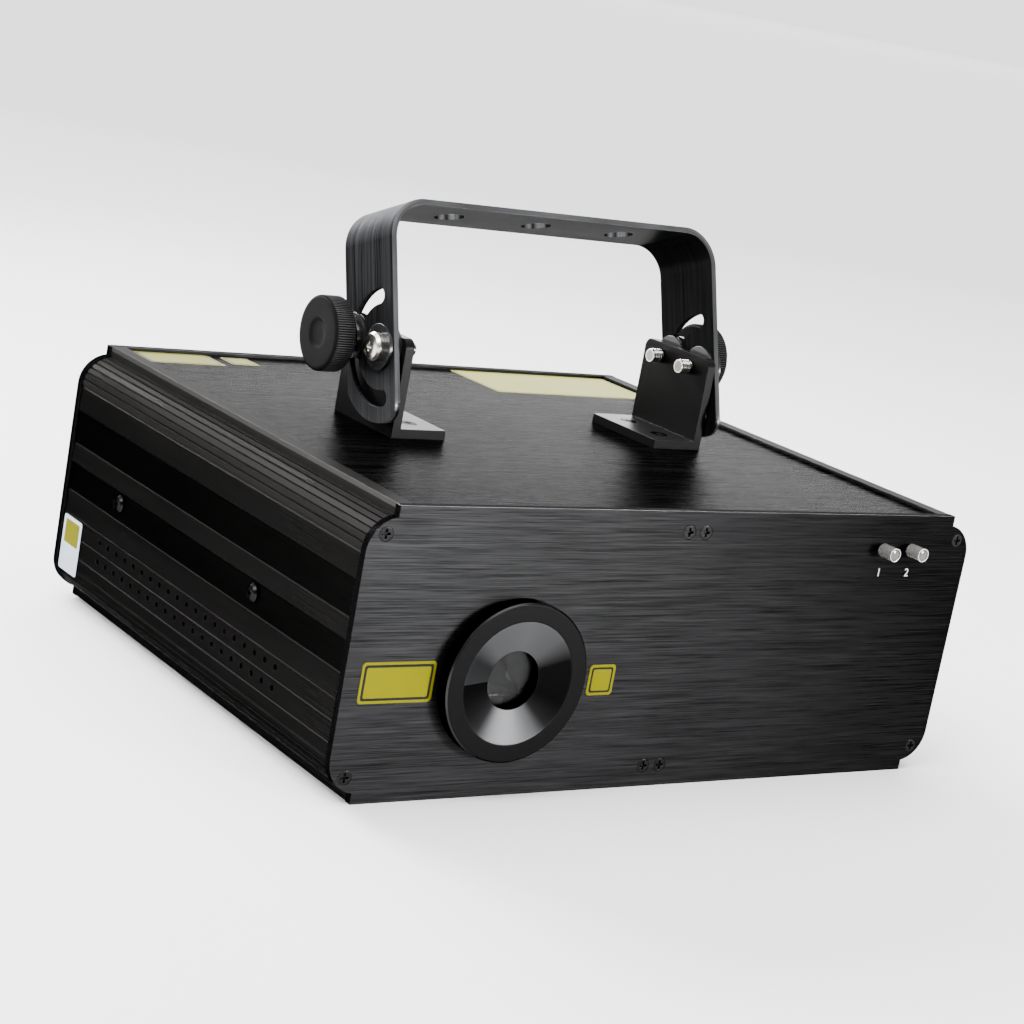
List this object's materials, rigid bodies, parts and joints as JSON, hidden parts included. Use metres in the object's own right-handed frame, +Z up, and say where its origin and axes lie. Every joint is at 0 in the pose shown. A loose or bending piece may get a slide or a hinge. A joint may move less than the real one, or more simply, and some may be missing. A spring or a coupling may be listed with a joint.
{
  "type": "laser show projector",
  "caption": "Flat laser show projector in a ribbed black metal housing with a dished beam aperture, indicator lamps and a leaning yoke that is clamped by side knobs.",
  "frame": {"origin": "on the ground under the middle of the housing, bottom centre of the overall box", "axes": "+X to the right seen from the front, +Y towards the rear, +Z up"},
  "size_m": [0.3062, 0.266, 0.209],
  "materials": {
    "plate_finish": "satin black anodised plate",
    "panel_finish": "brushed black anodised sheet",
    "profile_finish": "black anodised extrusion",
    "black_screw": "black oxide steel",
    "bright_screw": "zinc-plated steel",
    "bracket_paint": "matt black paint on steel",
    "yoke_paint": "satin black paint on steel",
    "black_washer": "black fibre and nylon",
    "knob_plastic": "black plastic, knurled rim",
    "bright_stud": "zinc-plated steel",
    "ring_finish": "turned, black anodised",
    "window_glass": "clear",
    "bezel_chrome": "polished plating",
    "lamp_lens": "clear lens",
    "label_film": "blank yellow adhesive film",
    "socket_plastic": "black moulded plastic",
    "shell_metal": "black zinc die-casting",
    "contact_metal": "plated contacts",
    "key_metal": "nickel-plated lock",
    "display_tint": "dark red window",
    "button_plastic": "black caps",
    "fan_plastic": "black moulded plastic",
    "guard_steel": "plated wire",
    "tray_metal": "mill finish sheet",
    "block_metal": "machined",
    "laser_metal": "black anodised",
    "filter_glass": "coated",
    "mirror_face": "front-surface mirror",
    "board_green": "circuit board with parts",
    "standoff_brass": "turned"
  },
  "bodies": {
    "housing": {"front_plate": "plate_finish", "rear_plate": "plate_finish", "top_panel": "panel_finish", "bottom_panel": "panel_finish", "side_profile_left": "profile_finish", "side_profile_right": "profile_finish", "panel_blocks": "block_metal", "plate_screws": "black_screw", "side_screws": "black_screw", "bracket_left": "bracket_paint", "bracket_right": "bracket_paint", "bracket_screws": "black_screw", "bracket_nuts": "bright_screw", "pivot_screws": "bright_screw", "pivot_washers": "black_washer", "pivot_spring_washers": "bright_screw", "spacer_washers": "black_washer", "aperture_ring": "ring_finish", "aperture_nut": "ring_finish", "aperture_window": "window_glass", "led_bezels": "bezel_chrome", "indicator_leds": "lamp_lens", "led_nuts": "bright_screw", "power_inlet": "socket_plastic", "dmx_input": "shell_metal", "dmx_output": "shell_metal", "connector_pins": "contact_metal", "connector_screws": "black_screw", "key_switch": "key_metal", "display_window": "display_tint", "fan_frame": "fan_plastic", "fan_guard": "guard_steel", "fan_screws": "bright_screw", "chassis_tray": "tray_metal", "laser_modules": "laser_metal", "combiner_posts": "block_metal", "combiner_filters": "filter_glass", "scanner_block": "block_metal", "scanner_motors": "laser_metal", "control_board": "board_green", "power_supply": "board_green", "driver_board": "board_green", "board_standoffs": "standoff_brass"},
    "yoke": {"yoke": "yoke_paint"},
    "clamp_left": {"clamp_washer_left": "black_washer"},
    "knob_left": {"knob_left": "knob_plastic", "knob_stud_left": "bright_stud"},
    "clamp_right": {"clamp_washer_right": "black_washer"},
    "knob_right": {"knob_right": "knob_plastic", "knob_stud_right": "bright_stud"},
    "scan_mirror_x": {"scan_mirror_x": "mirror_face"},
    "scan_mirror_y": {"scan_mirror_y": "mirror_face"},
    "fan_rotor": {"fan_rotor": "fan_plastic"},
    "key_barrel": {"key_barrel": "key_metal"},
    "fuse_drawer": {"fuse_drawer": "socket_plastic"},
    "menu_button_1": {"menu_button_1": "button_plastic"},
    "menu_button_2": {"menu_button_2": "button_plastic"},
    "menu_button_3": {"menu_button_3": "button_plastic"},
    "menu_button_4": {"menu_button_4": "button_plastic"}
  },
  "joints": [
    {"name": "yoke_tilt", "type": "hinge", "parent": "housing", "child": "yoke", "pos_m": [0, -0.0092, 0.1488], "axis": [1, 0, 0], "range_deg": [-70, 110]},
    {"name": "clamp_left_travel", "type": "slide", "parent": "housing", "child": "clamp_left", "axis": [-1, 0, 0], "range_m": [0, 0.001]},
    {"name": "knob_left_turn", "type": "hinge", "parent": "clamp_left", "child": "knob_left", "pos_m": [-0.09, 0.0118, 0.1488], "axis": [-1, 0, 0], "range_deg": [0, 360]},
    {"name": "clamp_right_travel", "type": "slide", "parent": "housing", "child": "clamp_right", "axis": [1, 0, 0], "range_m": [0, 0.001]},
    {"name": "knob_right_turn", "type": "hinge", "parent": "clamp_right", "child": "knob_right", "pos_m": [0.09, 0.0118, 0.1488], "axis": [1, 0, 0], "range_deg": [0, 360]},
    {"name": "scan_pan", "type": "hinge", "parent": "housing", "child": "scan_mirror_x", "pos_m": [-0.0783, -0.1075, 0.0734], "axis": [0, 1, 0], "range_deg": [-10, 10]},
    {"name": "scan_tilt", "type": "hinge", "parent": "housing", "child": "scan_mirror_y", "pos_m": [-0.0783, -0.1075, 0.0478], "axis": [1, 0, 0], "range_deg": [-10, 10]},
    {"name": "fan_spin", "type": "hinge", "parent": "housing", "child": "fan_rotor", "pos_m": [0.096, 0.1165, 0.058], "axis": [0, 1, 0], "continuous": true},
    {"name": "key_turn", "type": "hinge", "parent": "housing", "child": "key_barrel", "pos_m": [-0.112, 0.1255, 0.086], "axis": [0, -1, 0], "range_deg": [0, 90]},
    {"name": "fuse_drawer_pull", "type": "slide", "parent": "housing", "child": "fuse_drawer", "axis": [0, 1, 0], "range_m": [0, 0.016]},
    {"name": "menu_button_1_press", "type": "slide", "parent": "housing", "child": "menu_button_1", "axis": [0, -1, 0], "range_m": [0, 0.0008], "stiffness_N_per_m": 600, "springref_m": -0.0012},
    {"name": "menu_button_2_press", "type": "slide", "parent": "housing", "child": "menu_button_2", "axis": [0, -1, 0], "range_m": [0, 0.0008], "stiffness_N_per_m": 600, "springref_m": -0.0012},
    {"name": "menu_button_3_press", "type": "slide", "parent": "housing", "child": "menu_button_3", "axis": [0, -1, 0], "range_m": [0, 0.0008], "stiffness_N_per_m": 600, "springref_m": -0.0012},
    {"name": "menu_button_4_press", "type": "slide", "parent": "housing", "child": "menu_button_4", "axis": [0, -1, 0], "range_m": [0, 0.0008], "stiffness_N_per_m": 600, "springref_m": -0.0012}
  ],
  "couplings": [
    {"joint": "clamp_left_travel", "follows": "knob_left_turn", "m_per_rad": 0.00015915},
    {"joint": "clamp_right_travel", "follows": "knob_right_turn", "m_per_rad": 0.00015915}
  ]
}
